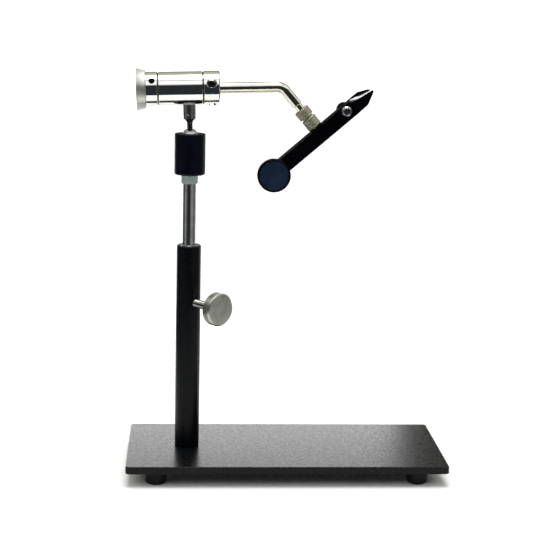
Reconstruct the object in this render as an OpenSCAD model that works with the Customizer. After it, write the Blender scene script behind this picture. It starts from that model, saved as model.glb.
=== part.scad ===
// Rotary fly tying vise. A round post on a flat base plate holds a height-adjustable stem.
// The stem carries a clamped ball joint, a rotary head, a bent arm and screw-closed jaws.
// X runs along the plate, Y runs away from the tier, +Z is up.
// The origin is at the middle of the plate, on the surface that the feet stand on.

/* [Base] */
// Length of the base plate
plate_l = 248; // [220:1:300]
// Depth of the base plate
plate_w = 104; // [94:1:140]
// Thickness of the base plate
plate_t = 6; // [5:0.5:10]
// Corner radius of the base plate
plate_r = 3; // [2:0.5:8]
// Chamfer on the edges of the base plate
plate_chamfer = 0.6; // [0.3:0.1:1.2]
// Distance from the left end of the plate to the post
post_inset = 46.3; // [44:0.1:70]
// Diameter of a rubber foot
foot_d = 17.6; // [15:0.1:22]
// Height of a rubber foot
foot_h = 10.5; // [8:0.5:16]
// Distance from the end of the plate to the middle of a foot
foot_inset_x = 23; // [18:0.5:28]
// Distance from the long edge of the plate to the middle of a foot
foot_inset_y = 13; // [12:0.5:20]
// Thread diameter of a foot screw
foot_screw_d = 4; // [3:0.5:5]

/* [Post] */
// Diameter of the post
post_d = 19.05; // [18:0.05:24]
// Height of the post above the plate
post_h = 161.5; // [150:0.5:200]
// Thickness of the solid floor under the bore of the post
post_floor = 27; // [24:1:27]
// Thread diameter of the bolt that holds the post
post_bolt_d = 8; // [6:0.5:10]
// Outer diameter of the clamp bush
bush_d = 12.7; // [12:0.1:14]
// Length of the clamp bush
bush_l = 58; // [54:1:62]
// Width of the slot in the clamp bush
bush_slot = 1.4; // [0.8:0.1:2.5]

/* [Stem] */
// Diameter of the stem
stem_d = 10; // [9:0.1:10.5]
// Length of stem that shows above the post at rest
stem_out = 47.5; // [47.5:0.5:60]
// Length of stem inside the post at rest
stem_in = 84.5; // [78:0.5:84.5]
// Diameter of the thread on top of the stem
stem_thread_d = 8; // [7:0.1:8.5]
// Width of the jam nut across its flats
jam_nut_af = 12.7; // [12:0.1:14]
// Height of the jam nut
jam_nut_h = 6.7; // [5:0.1:8]

/* [Ball joint] */
// Diameter of the clamp sleeve
sleeve_d = 23.6; // [22:0.1:28]
// Height of the clamp sleeve
sleeve_h = 31.3; // [28:0.1:36]
// Diameter of the ball
ball_d = 12.7; // [12:0.1:13.5]
// Depth of the middle of the ball below the top of the sleeve
ball_sink = 3.2; // [2.6:0.1:3.4]
// Height of the ball seat
seat_h = 8; // [7:0.5:9]
// Diameter of the neck of the ball stud
neck_d = 4.4; // [4:0.1:5]
// Height of the foot of the neck's flare above the middle of the ball
neck_l = 11.6; // [10.5:0.1:13]
// Diameter of the head post
head_post_d = 9.75; // [9:0.05:11]
// Diameter of the shank of the ball stud
stud_shank_d = 5; // [4.6:0.1:5.4]

/* [Rotary head] */
// Tilt of the head at rest, nose up, in degrees
head_tilt = 2.2; // [0:0.1:6]
// Height of the rotary axis above the middle of the ball
axis_h = 36.7; // [36:0.1:42]
// Diameter of the housing
housing_d = 25.4; // [24.5:0.1:27]
// Length of the housing
housing_l = 32.8; // [31:0.1:38]
// Distance from the ball joint to the front end of the housing
housing_front = 10.3; // [9.5:0.1:14]
// Diameter of the rings in front of and behind the housing
ring_d = 25.8; // [24.5:0.1:28]
// Length of the front ring
front_ring_l = 12.1; // [12:0.1:16]
// Length of the rear ring
rear_ring_l = 8.9; // [7:0.1:10]
// Thickness of a friction washer
washer_t = 0.8; // [0.5:0.1:1.5]
// Diameter of the rear knob
rear_knob_d = 31.75; // [29:0.05:38]
// Length of the rear knob
rear_knob_l = 6.7; // [6.5:0.1:12]
// Diameter of the rotary shaft
shaft_d = 12; // [11:0.1:13]
// Wall of a bearing bush
bearing_wall = 1.9; // [1.4:0.1:2]
// Length of a bearing bush
bearing_l = 11; // [9:0.5:12]
// Number of countersunk holes round the front ring
ring_holes = 4; // [4:1:6]
// Diameter of a hole in the front ring
ring_hole_d = 4.3; // [3.5:0.1:4.6]
// Diameter of a countersink in the front ring
ring_sink_d = 8; // [7:0.1:8.4]
// Angle of the first hole of the front ring above the tier's side, in degrees
ring_hole_angle = 20; // [0:1:59]

/* [Arm] */
// Distance from the ball joint to the corner of the bent arm
arm_reach = 70.2; // [66:0.1:90]
// Diameter of the arm
arm_d = 7.94; // [7.4:0.02:8.4]
// Angle of the bend in the arm, in degrees
arm_bend = 51; // [40:1:60]
// Radius of the bend on the middle line of the arm
arm_bend_r = 8; // [7:0.5:14]
// Distance from the corner of the arm to its shoulder
arm_leg = 17.9; // [16:0.1:30]
// Diameter of the spigot on the end of the arm
spigot_d = 6.2; // [5.6:0.1:6.4]
// Length of spigot that shows between the shoulder and the collet nut
spigot_out = 4.1; // [3:0.1:8]

/* [Collet] */
// Diameter of the collet nut
collet_nut_d = 11.9; // [11.2:0.1:14]
// Height of the collet nut
collet_nut_h = 7.2; // [6.5:0.1:10]
// Gap between the collet nut and the collet body
collet_gap = 1.4; // [0.8:0.1:2]
// Diameter of the collet body
collet_body_d = 11.5; // [10.4:0.1:13]
// Height of the collet body
collet_body_h = 8.6; // [7:0.1:10]
// Diameter of the thread of the collet body
collet_thread_d = 8.6; // [8.2:0.1:9]

/* [Jaws] */
// Height of a jaw
jaw_h = 11.5; // [11:0.1:13]
// Thickness of both jaws with the gap between them
jaw_t = 12.7; // [12.2:0.1:15]
// Gap between the jaws behind the fulcrum
jaw_gap = 3; // [2.9:0.1:3.2]
// Distance from the arm to the jaw tips
jaw_nose = 51.2; // [49:0.1:56]
// Distance from the arm to the adjusting screw
fulcrum_s = 25.6; // [24.5:0.1:26.5]
// Distance from the arm to the closing screw
closing_s = 47.3; // [40:0.1:60]
// Length of the jaws behind the closing screw
jaw_tail = 6; // [4:0.5:8]
// Diameter of the boss under the collet body
boss_d = 11; // [10.2:0.1:11.4]
// Height of the boss under the collet body
boss_h = 1.1; // [0.5:0.05:1.5]

/* [Jaw screws] */
// Diameter of the closing knob
closing_knob_d = 25.4; // [22:0.1:30]
// Thickness of the closing knob
closing_knob_h = 6; // [5:0.5:10]
// Diameter of the closing screw
closing_screw_d = 6; // [5:0.5:7]
// Diameter of the adjusting screw
adjusting_screw_d = 5; // [4.5:0.1:5.4]
// Diameter of the head of the adjusting screw
adjusting_head_d = 8; // [7.6:0.1:9]
// Height of the adjusting screw above the middle of the jaws
adjusting_rise = 1.2; // [0:0.1:1.6]
// Diameter of the adjusting nut
adjusting_nut_d = 11.5; // [10:0.5:15]
// Height of the adjusting nut
adjusting_nut_h = 7; // [4:0.5:9]

/* [Height screw] */
// Depth of the height screw below the top of the post
height_screw_drop = 44.5; // [41:0.5:46]
// Direction of the height screw, in degrees to the right of the tier
height_screw_angle = 39.6; // [0:0.1:70]
// Diameter of the height screw
height_screw_d = 6.35; // [6:0.05:7]
// Diameter of the knob of the height screw
height_knob_d = 25.4; // [22:0.1:30]
// Thickness of the knob of the height screw
height_knob_h = 8; // [6:0.5:10]
// Distance from the post axis to the face of the knob
height_knob_reach = 38.5; // [36:0.5:45]

/* [Hidden] */
$fn = 64;

// Clearances, overrun of the cuts and small edges that many pieces share
run_fit = 0.05;
seat_gap = 0.1;
free_gap = 0.3;
overrun = 1;
small_chamfer = 0.4;
knob_chamfer = 1;

// Levels on the post, from the surface that the feet stand on
plate_z = foot_h;
post_z = plate_z + plate_t;
post_top = post_z + post_h;
post_x = post_inset - plate_l / 2;
stem_bottom = post_top - stem_in;
stem_shoulder = post_top + stem_out;
nut_z = stem_shoulder;
sleeve_z = nut_z + jam_nut_h;
ball_z = sleeve_z + sleeve_h - ball_sink;
ball_r = ball_d / 2;
seat_top = 2;
seat_z = ball_z - seat_top - seat_h;
seat_wall = 0.8;
sleeve_bore_r = ball_r + seat_wall;
sleeve_foot_round = 1.6;
sleeve_lip_round = 1;
sleeve_floor = 12;

// Bolts and screws of the base
foot_edge = 1.5;
foot_taper = 1;
foot_well_r = 4.6;
foot_web = 3.5;
foot_head_r = 3.9;
foot_head_h = 2.6;
foot_screw_skin = 1.2;
foot_x = plate_l / 2 - foot_inset_x;
foot_y = plate_w / 2 - foot_inset_y;
bolt_head_r = 8;
bolt_head_h = plate_t * 0.65;
bolt_grip = 15;
hex_key_d = 5.8;
hex_key_depth = 3;
post_chamfer = 0.8;
post_bore_r = stem_d / 2 + free_gap / 2;
bush_rim = 0.8;

// Stations along the rotary axis, from the ball joint
housing_r = housing_d / 2;
ring_r = ring_d / 2;
shaft_r = shaft_d / 2;
housing_back = housing_front - housing_l;
front_ring_x = housing_front + washer_t;
front_ring_end = front_ring_x + front_ring_l;
rear_ring_x = housing_back - washer_t - rear_ring_l;
rear_knob_x = rear_ring_x - rear_knob_l;
knob_wall = 3.6;
shaft_x = rear_knob_x + knob_wall;
ring_step = 1.4;
shaft_end = front_ring_end - ring_step;
socket_depth = 19;
bearing_r = shaft_r + run_fit + bearing_wall;
spot_z = axis_h - sqrt(pow(housing_r, 2) - pow(head_post_d / 2, 2)) + seat_gap;
flare_r = (head_post_d - neck_d) / 2;
flare_top = neck_l + flare_r;
post_spigot_r = head_post_d * 0.4;
post_spigot_top = axis_h - bearing_r - free_gap;
shank_top = flare_top + (spot_z - flare_top) * 0.85;
post_screw_r = 1.1;
post_screw_rise = 2.8;
post_screw_z = flare_top + post_screw_rise;
post_screw_angle = 19;
post_screw_proud = 0.2;
set_screw_r = 2;
rear_screw_r = 2.3;
rear_screw_angle = 32;
rear_screw_share = 0.545;
rear_screw_sink = 1.6;
front_screw_sink = 3;
knob_screw_r = 2.5;
knob_screw_head_r = 4.5;
knob_screw_head_h = 1.8;
knob_screw_l = 12;

// Stations along the arm's lower leg, from the corner of the arm
arm_run = arm_bend_r * tan(arm_bend / 2);
bend_lap = 1;
bend_waist = 0.02;
collet_top = arm_leg + spigot_out;
collet_roof = 1.5;
ferrule_h = 1.4;
thread_top = collet_top + collet_roof + ferrule_h + seat_gap;
collet_low = collet_top + collet_nut_h;
body_top = collet_low + collet_gap;
body_low = body_top + collet_body_h;
bar_drop = body_low + boss_h + jaw_h / 2;
spigot_floor = 1.3;
spigot_end = body_low - spigot_floor;
collet_stud_r = 2.4;
collet_stud_l = 8;

// Places on the jaws: s runs from the arm to the tips, n stands across the jaw
half_h = jaw_h / 2;
half_t = jaw_t / 2;
half_gap = jaw_gap / 2;
tip_gap = 0.04;
tip_half_t = 1.5;
nose_lead = 3.5;
taper_lead = 5.5;
taper_s = fulcrum_s + taper_lead;
nose_l = jaw_nose - taper_s;
touch_share = 0.632;
tail_s = -closing_s - jaw_tail;
tail_r = 2.5;
lug_s = 7;
lug_t = 1.7;
lug_y = half_gap + lug_t;
lug_gap = 1.3;
bevel_rise = 1.15;
bevel_fall = 16.2;
bevel_roll = 22;
scoop_r = 3;
guide_s = -28;
guide_r = 1.5;
guide_floor = 1;
guide_depth = half_t - guide_floor;
guide_spare = 2.2;
spring_lead = 8;
spring_s = fulcrum_s + spring_lead;
spring_r = 1.7;
spring_wire_r = 0.3;
spring_turns = 4;
spring_steps = 12;
spring_sides = 6;
spring_pocket_r = 2.3;
spring_pocket = 3.1;
spring_rise = spring_pocket - seat_gap - spring_wire_r;

// Outline of the nose, from under the chin round the tip and back over the brow,
// in shares of the nose's length and of half the jaw's height
nose_shares = [
    [0.517, -1], [0.96, -0.261], [1, -0.104], [1, 0.035], [0.965, 0.191],
    [0.866, 0.504], [0.517, 1.043], [0.249, 1.043], [0.05, 1]
];

// Jaw screws: lengths are measured toward the tier from the split between the jaws
closing_r = closing_screw_d / 2;
closing_tip = -half_gap + seat_gap;
closing_hub_r = closing_screw_d;
closing_hub_z = half_t + free_gap;
closing_knob_z = closing_hub_z + free_gap * 2;
closing_screw_end = closing_knob_z + closing_knob_h * 0.7;
adjusting_r = adjusting_screw_d / 2;
adjusting_head_h = 2;
adjusting_head_z = half_t + seat_gap * 2;
adjusting_key_d = 3.6;
adjusting_washer_t = 1;
adjusting_washer_share = 0.44;
adjusting_washer_r = adjusting_nut_d * adjusting_washer_share;
adjusting_nut_z = half_t + adjusting_washer_t + run_fit * 2;
fulcrum_wall = 1.7;
fulcrum_r = adjusting_r + fulcrum_wall;

// Height screw: lengths are measured outward from the post axis
height_r = height_screw_d / 2;
height_tip = bush_d / 2 + seat_gap;
height_knob_x = height_knob_reach - height_knob_h;
height_screw_end = height_knob_x + height_knob_h * 0.7;

// Solid of revolution with a chamfer at each end
module turned(r, h, low, high) {
    rotate_extrude()
        polygon([[0, 0], [r - low, 0], [r, low], [r, h - high], [r - high, h], [0, h]]);
}

// Solid of revolution with a rounded edge at each end
module rounded(r, h, low, high) {
    rotate_extrude() {
        translate([0, low]) square([r, h - low - high]);
        square([r - low, h - high]);
        translate([0, low]) square([r - high, h - low]);
        translate([r - low, low]) circle(low);
        translate([r - high, h - high]) circle(high);
    }
}

// Hole from one level to another along Z
module drill(r, from, to) {
    translate([0, 0, from]) cylinder(r = r, h = to - from);
}

// Rectangular plate with rounded corners and chamfered edges
module slab(l, w, t, r, c) {
    rotate([90, 0, 90]) linear_extrude(l - 2 * r, center = true) polygon(slab_section(w, t, c));
    rotate([90, 0, 0]) linear_extrude(w - 2 * r, center = true) polygon(slab_section(l, t, c));
    for (sx = [-1, 1], sy = [-1, 1])
        translate([sx * (l / 2 - r), sy * (w / 2 - r), 0]) turned(r, t, c, c);
}

function slab_section(w, t, c) = [
    [c - w / 2, 0], [w / 2 - c, 0], [w / 2, c], [w / 2, t - c],
    [w / 2 - c, t], [c - w / 2, t], [-w / 2, t - c], [-w / 2, c]
];

// The four places where a foot is screwed to the plate
module at_feet() {
    for (sx = [-1, 1], sy = [-1, 1]) translate([sx * foot_x, sy * foot_y, 0]) children();
}

// Post axis, at the surface that the feet stand on
module on_post() {
    translate([post_x, 0, 0]) children();
}

// Height screw: local Z runs outward from the post axis
module on_height_screw() {
    on_post() translate([0, 0, post_top - height_screw_drop])
        rotate([0, 0, height_screw_angle]) rotate([90, 0, 0]) children();
}

// Head frame: origin at the middle of the ball, local X along the rotary axis
module on_head() {
    translate([post_x, 0, ball_z]) rotate([0, -head_tilt, 0]) children();
}

// Rotary axis: local Z runs forward along it from station x
module on_axis(x) {
    on_head() translate([x, 0, axis_h]) rotate([0, 90, 0]) children();
}

// Direction out of the rotary axis, at an angle above the tier's side
module outward(angle) {
    rotate([0, 0, -90 - angle]) rotate([0, 90, 0]) children();
}

// Lower leg of the arm: local Z runs down it from the corner of the arm
module on_leg(z) {
    on_head() translate([arm_reach, 0, axis_h]) rotate([0, 90 + arm_bend, 0])
        translate([0, 0, z]) children();
}

// Jaw frame: local X runs to the tips, local Y away from the tier, local Z toward the arm
module on_bar() {
    on_leg(bar_drop) rotate([0, -180, 0]) children();
}

// Screw through the jaws at station s: local Z runs toward the tier from the split
module across(s, rise = 0) {
    translate([s, 0, rise]) rotate([90, 0, 0]) children();
}

module base_plate() {
    color("dimgray") translate([0, 0, plate_z]) difference() {
        slab(plate_l, plate_w, plate_t, plate_r, plate_chamfer);
        at_feet() drill(foot_screw_d / 2 + run_fit, -overrun, plate_t - foot_screw_skin);
        translate([post_x, 0, 0]) {
            drill(post_bolt_d / 2 + free_gap, -overrun, plate_t + overrun);
            translate([0, 0, -overrun])
                cylinder(r1 = bolt_head_r + overrun + run_fit, r2 = post_bolt_d / 2 + run_fit,
                    h = bolt_head_h + overrun);
        }
    }
}

// One bumper: tapered, rounded at the floor, with a well for its screw
module rubber_foot() {
    difference() {
        rotate_extrude() {
            polygon([
                [0, 0], [foot_d / 2 - foot_taper - foot_edge, 0],
                [foot_d / 2 - foot_taper, foot_edge], [foot_d / 2, foot_h], [0, foot_h]
            ]);
        }
        drill(foot_well_r, -overrun, foot_h - foot_web);
        drill(foot_screw_d / 2 + run_fit, 0, foot_h + overrun);
    }
}

module rubber_feet() {
    color("black") at_feet() rubber_foot();
}

module foot_screws() {
    color("silver") at_feet() difference() {
        union() {
            translate([0, 0, foot_h - foot_web - foot_head_h])
                rounded(foot_head_r, foot_head_h, foot_head_h * 0.4, small_chamfer);
            drill(foot_screw_d / 2, foot_h - foot_web - small_chamfer,
                plate_z + plate_t - foot_screw_skin - seat_gap);
        }
        translate([0, 0, foot_h - foot_web - foot_head_h - overrun])
            cylinder(d = foot_head_r * 0.9, h = foot_head_h * 0.55 + overrun, $fn = 6);
    }
}

module post() {
    color([0.09, 0.09, 0.1]) on_post() difference() {
        translate([0, 0, post_z]) turned(post_d / 2, post_h, small_chamfer, post_chamfer);
        drill(bush_d / 2 + run_fit, post_top - bush_l, post_top + overrun);
        drill(post_bore_r, post_z + post_floor, post_top);
        drill(post_bolt_d / 2 + run_fit, post_z - overrun, post_z + bolt_grip + overrun);
        translate([0, 0, post_top - height_screw_drop]) rotate([0, 0, height_screw_angle])
            rotate([90, 0, 0]) drill(height_r + run_fit, 0, post_d);
    }
}

module post_bolt() {
    color("gray") on_post() difference() {
        union() {
            translate([0, 0, plate_z])
                cylinder(r1 = bolt_head_r, r2 = post_bolt_d / 2, h = bolt_head_h);
            translate([0, 0, plate_z])
                turned(post_bolt_d / 2, plate_t + bolt_grip, small_chamfer, small_chamfer);
        }
        translate([0, 0, plate_z - overrun])
            cylinder(d = hex_key_d, h = hex_key_depth + overrun, $fn = 6);
    }
}

// Split bush that the height screw squeezes onto the stem
module clamp_bush() {
    color("lightsteelblue") on_post() translate([0, 0, post_top - bush_l + run_fit]) difference() {
        turned(bush_d / 2, bush_l, small_chamfer, small_chamfer);
        drill(stem_d / 2 + run_fit, -overrun, bush_l + overrun);
        translate([0, 0, bush_l - bush_rim])
            cylinder(r1 = stem_d / 2, r2 = stem_d / 2 + bush_rim + overrun, h = bush_rim + overrun);
        translate([0, -bush_slot / 2, -overrun]) cube([bush_d, bush_slot, bush_l + 2 * overrun]);
    }
}

module height_screw() {
    color("gainsboro") on_height_screw() translate([0, 0, height_tip])
        turned(height_r, height_screw_end - height_tip, small_chamfer * 2, small_chamfer);
}

module height_knob() {
    color("silver") on_height_screw() difference() {
        translate([0, 0, height_knob_x])
            turned(height_knob_d / 2, height_knob_h, knob_chamfer, knob_chamfer);
        drill(height_r + run_fit, height_knob_x - overrun, height_screw_end + seat_gap);
    }
}

module stem() {
    color("lightgray") on_post() {
        translate([0, 0, stem_bottom])
            turned(stem_d / 2, stem_shoulder - stem_bottom, small_chamfer * 2, small_chamfer);
        drill(stem_thread_d / 2, stem_shoulder - overrun, seat_z);
    }
}

module jam_nut() {
    color("lightcyan") on_post() translate([0, 0, nut_z]) difference() {
        intersection() {
            rotate([0, 0, 30]) cylinder(d = jam_nut_af / cos(30), h = jam_nut_h - run_fit, $fn = 6);
            turned(jam_nut_af / 2 / cos(30), jam_nut_h - run_fit, small_chamfer * 2, small_chamfer * 2);
        }
        drill(stem_thread_d / 2 + run_fit, -overrun, jam_nut_h + overrun);
    }
}

// Cup under the ball, on top of the stem
module ball_seat() {
    color("goldenrod") on_post() difference() {
        translate([0, 0, seat_z]) turned(sleeve_bore_r - free_gap, seat_h, small_chamfer, small_chamfer);
        translate([0, 0, ball_z]) sphere(r = ball_r + seat_gap);
    }
}

// Sleeve that pulls the ball down into its seat when it is screwed down
module clamp_sleeve() {
    color([0.07, 0.07, 0.08]) on_post() difference() {
        translate([0, 0, sleeve_z]) rounded(sleeve_d / 2, sleeve_h, sleeve_foot_round, sleeve_lip_round);
        drill(stem_thread_d / 2 + run_fit, sleeve_z - overrun, ball_z);
        drill(sleeve_bore_r, sleeve_z + sleeve_floor, ball_z);
        translate([0, 0, ball_z]) sphere(r = ball_r + run_fit);
    }
}

module ball_stud() {
    color("silver") on_head() {
        sphere(r = ball_r);
        drill(neck_d / 2, 0, flare_top);
        rotate_extrude() difference() {
            translate([0, neck_l]) square([head_post_d / 2, flare_r]);
            translate([head_post_d / 2, neck_l]) circle(flare_r);
        }
        drill(stud_shank_d / 2, flare_top - small_chamfer, shank_top);
    }
}

module head_post() {
    color("gray") on_head() difference() {
        union() {
            drill(head_post_d / 2, flare_top, spot_z);
            drill(post_spigot_r, flare_top, post_spigot_top);
        }
        drill(stud_shank_d / 2 + run_fit, flare_top - overrun, shank_top + seat_gap);
        translate([0, 0, post_screw_z]) rotate([0, 0, -90 - post_screw_angle])
            rotate([0, 90, 0]) drill(post_screw_r + run_fit, 0, head_post_d);
    }
}

module head_post_screw() {
    color("white") on_head() translate([0, 0, post_screw_z])
        rotate([0, 0, -90 - post_screw_angle]) rotate([0, 90, 0])
            translate([0, 0, stud_shank_d / 2 + seat_gap])
                turned(post_screw_r, (head_post_d - stud_shank_d) / 2 - seat_gap + post_screw_proud,
                    post_screw_proud, post_screw_proud);
}

module housing() {
    color("lightgray") difference() {
        on_axis(housing_back) difference() {
            turned(housing_r, housing_l, small_chamfer, small_chamfer);
            drill(bearing_r + run_fit, -overrun, housing_l + overrun);
        }
        on_head() {
            drill(head_post_d / 2 + run_fit, 0, spot_z);
            drill(post_spigot_r + run_fit, 0, axis_h);
        }
    }
}

module bearing_bush() {
    difference() {
        turned(bearing_r, bearing_l, small_chamfer, small_chamfer);
        drill(shaft_r + run_fit, -overrun, bearing_l + overrun);
    }
}

module rear_bearing() {
    color("peru") on_axis(housing_back) bearing_bush();
}

module front_bearing() {
    color("peru") on_axis(housing_front - bearing_l) bearing_bush();
}

module rotary_shaft() {
    color("silver") on_axis(0) difference() {
        translate([0, 0, shaft_x]) turned(shaft_r, shaft_end - shaft_x, small_chamfer, small_chamfer);
        drill(arm_d / 2 + run_fit, shaft_end - socket_depth, shaft_end + overrun);
        drill(knob_screw_r + run_fit, shaft_x - overrun, shaft_x + knob_screw_l);
    }
}

module rear_knob() {
    color("silver") on_axis(rear_knob_x) difference() {
        turned(rear_knob_d / 2, rear_knob_l, small_chamfer, small_chamfer);
        drill(shaft_r + run_fit, knob_wall - run_fit, rear_knob_l + overrun);
        drill(knob_screw_r + free_gap, -overrun, rear_knob_l);
        drill(knob_screw_head_r + free_gap, -overrun, knob_screw_head_h + run_fit);
    }
}

module knob_screw() {
    color("dimgray") on_axis(rear_knob_x) difference() {
        union() {
            turned(knob_screw_head_r, knob_screw_head_h, small_chamfer, small_chamfer / 2);
            drill(knob_screw_r, knob_screw_head_h - small_chamfer, knob_wall + knob_screw_l * 0.8);
        }
        translate([0, 0, -overrun])
            cylinder(d = knob_screw_r * 1.4, h = knob_screw_head_h + overrun, $fn = 6);
    }
}

module rear_ring() {
    color("lightgray") on_axis(rear_ring_x) difference() {
        turned(ring_r, rear_ring_l, small_chamfer, small_chamfer);
        drill(shaft_r + run_fit, -overrun, rear_ring_l + overrun);
        translate([0, 0, rear_ring_l * rear_screw_share]) outward(rear_screw_angle)
            drill(rear_screw_r + run_fit, 0, ring_r + overrun);
    }
}

// Set screw that sits below the surface of its ring
module set_screw(r, inner, outer) {
    difference() {
        translate([0, 0, inner]) turned(r, outer - inner, small_chamfer, small_chamfer);
        translate([0, 0, (inner + outer) / 2])
            cylinder(d = r * 1.1, h = outer - inner, $fn = 6);
    }
}

module rear_ring_screw() {
    color([0.1, 0.1, 0.1]) on_axis(rear_ring_x + rear_ring_l * rear_screw_share)
        outward(rear_screw_angle)
            set_screw(rear_screw_r, shaft_r + seat_gap, ring_r - rear_screw_sink);
}

module friction_washer() {
    difference() {
        cylinder(r = ring_r - washer_t, h = washer_t - run_fit);
        drill(shaft_r + run_fit, -overrun, washer_t + overrun);
    }
}

module rear_washer() {
    color([0.15, 0.15, 0.16]) on_axis(housing_back - washer_t) friction_washer();
}

module front_washer() {
    color([0.15, 0.15, 0.16]) on_axis(housing_front + run_fit) friction_washer();
}

module front_ring() {
    color("lightgray") on_axis(front_ring_x) difference() {
        turned(ring_r, front_ring_l, small_chamfer, small_chamfer * 2);
        drill(shaft_r + run_fit, -overrun, front_ring_l - ring_step + seat_gap);
        drill(arm_d / 2 + free_gap, -overrun, front_ring_l + overrun);
        for (i = [0:ring_holes - 1])
            translate([0, 0, front_ring_l / 2]) outward(ring_hole_angle + i * 360 / ring_holes) {
                drill(ring_hole_d / 2, 0, ring_r + overrun);
                translate([0, 0, ring_r - (ring_sink_d - ring_hole_d) / 2])
                    cylinder(d1 = ring_hole_d, d2 = ring_sink_d + 2 * overrun,
                        h = (ring_sink_d - ring_hole_d) / 2 + overrun);
            }
    }
}

module front_ring_screws() {
    color([0.1, 0.1, 0.1]) on_axis(front_ring_x + front_ring_l / 2)
        for (i = [0, 2]) outward(ring_hole_angle + i * 360 / ring_holes)
            set_screw(set_screw_r, shaft_r + seat_gap, ring_r - front_screw_sink);
}

// Polished rod: straight through the front ring, bent, with a turned-down end
module arm() {
    color("silver") {
        on_axis(0) drill(arm_d / 2, shaft_end - socket_depth + seat_gap, arm_reach - arm_run);
        on_head() translate([arm_reach - arm_run, 0, axis_h - arm_bend_r]) rotate([90, 0, 0])
            rotate([0, 0, 90 - arm_bend - bend_lap]) rotate_extrude(angle = arm_bend + 2 * bend_lap)
                translate([arm_bend_r, 0]) circle(arm_d / 2 - bend_waist);
        on_leg(arm_run) turned_end(arm_d / 2, arm_leg - arm_run, small_chamfer * 2);
        on_leg(0) drill(spigot_d / 2, arm_leg - overrun, spigot_end);
    }
}

module turned_end(r, h, high) {
    rotate_extrude() polygon([[0, 0], [r, 0], [r, h - high], [r - high, h], [0, h]]);
}

module collet_nut() {
    color("tan") on_leg(collet_top) difference() {
        turned(collet_nut_d / 2, collet_nut_h, small_chamfer * 1.5, small_chamfer);
        drill(spigot_d / 2 + seat_gap, -overrun, collet_nut_h + overrun);
        drill(collet_thread_d / 2 + run_fit, collet_roof, collet_nut_h + overrun);
    }
}

module collet_ferrule() {
    color("goldenrod") on_leg(collet_top + collet_roof + run_fit) difference() {
        turned(collet_thread_d / 2 - seat_gap, ferrule_h, small_chamfer, small_chamfer);
        drill(spigot_d / 2 + run_fit, -overrun, ferrule_h + overrun);
    }
}

module collet_body() {
    color("tan") on_leg(0) difference() {
        union() {
            translate([0, 0, thread_top])
                turned(collet_thread_d / 2, body_top - thread_top + overrun, small_chamfer, small_chamfer);
            translate([0, 0, body_top])
                turned(collet_body_d / 2, collet_body_h, small_chamfer, small_chamfer);
            drill(collet_stud_r, body_low - overrun, body_low + collet_stud_l);
        }
        drill(spigot_d / 2 + run_fit, thread_top - overrun, spigot_end + seat_gap);
    }
}

// Outline of a jaw seen from the tier's side, from the tail round under the chin to the tip
function jaw_side() = [
    [tail_s, tail_r - half_h], [tail_s + tail_r, -half_h],
    for (p = nose_shares) [taper_s + p[0] * nose_l, p[1] * half_h],
    [tail_s + tail_r, half_h], [tail_s, half_h - tail_r]
];

// Outline of the far jaw seen from above
function jaw_plan() = [
    [tail_s, half_gap], [fulcrum_s + nose_lead, half_gap], [taper_s + nose_l * touch_share, tip_gap],
    [jaw_nose, tip_gap], [jaw_nose, tip_half_t], [taper_s, half_t], [tail_s, half_t]
];

// Far jaw before its holes: the side outline and the plan meet at the tapered nose
module jaw_blank() {
    intersection() {
        rotate([90, 0, 0]) linear_extrude(jaw_t + 2 * overrun, center = true) polygon(jaw_side());
        translate([0, 0, -jaw_h]) linear_extrude(2 * jaw_h) polygon(jaw_plan());
    }
}

module far_jaw() {
    color([0.08, 0.08, 0.09]) on_bar() difference() {
        union() {
            jaw_blank();
            translate([-lug_s, -lug_y, -half_h])
                cube([2 * lug_s, lug_y + half_gap + small_chamfer, jaw_h]);
            drill(boss_d / 2, 0, half_h + boss_h);
        }
        translate([-boss_d, -jaw_t, -jaw_h])
            cube([2 * boss_d, jaw_t - lug_y, jaw_h + half_h + seat_gap * 2]);
        drill(collet_stud_r + run_fit, half_h + boss_h - collet_stud_l - seat_gap, jaw_h);
        across(fulcrum_s, adjusting_rise) drill(adjusting_r + run_fit, -jaw_t, 0);
        across(guide_s) drill(guide_r + run_fit / 5, -jaw_t, 0);
        across(spring_s) drill(spring_pocket_r, -spring_pocket, 0);
    }
}

// Cutter for the long bevel that clears the near side of the nose
module nose_bevel() {
    translate([taper_s - seat_gap, 0, half_h + bevel_rise]) rotate([bevel_roll, bevel_fall, 0]) {
        translate([scoop_r, -jaw_t, 0]) cube([jaw_nose, 2 * jaw_t, jaw_h]);
        translate([0, -jaw_t, scoop_r]) cube([jaw_nose, 2 * jaw_t, jaw_h]);
        translate([scoop_r, jaw_t, scoop_r]) rotate([90, 0, 0]) cylinder(r = scoop_r, h = 2 * jaw_t);
    }
}

module near_jaw() {
    color([0.08, 0.08, 0.09]) on_bar() difference() {
        mirror([0, 1, 0]) jaw_blank();
        nose_bevel();
        translate([-lug_s - lug_gap, -lug_y - lug_gap, -jaw_h])
            cube([2 * (lug_s + lug_gap), jaw_t, 2 * jaw_h]);
        translate([-lug_s, -jaw_t, half_h - seat_gap]) cube([2 * lug_s, jaw_t, jaw_h]);
        across(-closing_s) drill(closing_r + run_fit, 0, jaw_t);
        across(fulcrum_s, adjusting_rise) drill(adjusting_r + free_gap, 0, jaw_t);
        across(guide_s) drill(guide_r + free_gap, 0, guide_depth);
        across(spring_s) drill(spring_pocket_r, 0, spring_pocket);
    }
}

module guide_pin() {
    color("silver") on_bar() across(guide_s) translate([0, 0, -half_t + seat_gap])
        turned(guide_r, half_t - seat_gap + guide_depth - guide_spare, small_chamfer, small_chamfer);
}

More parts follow.
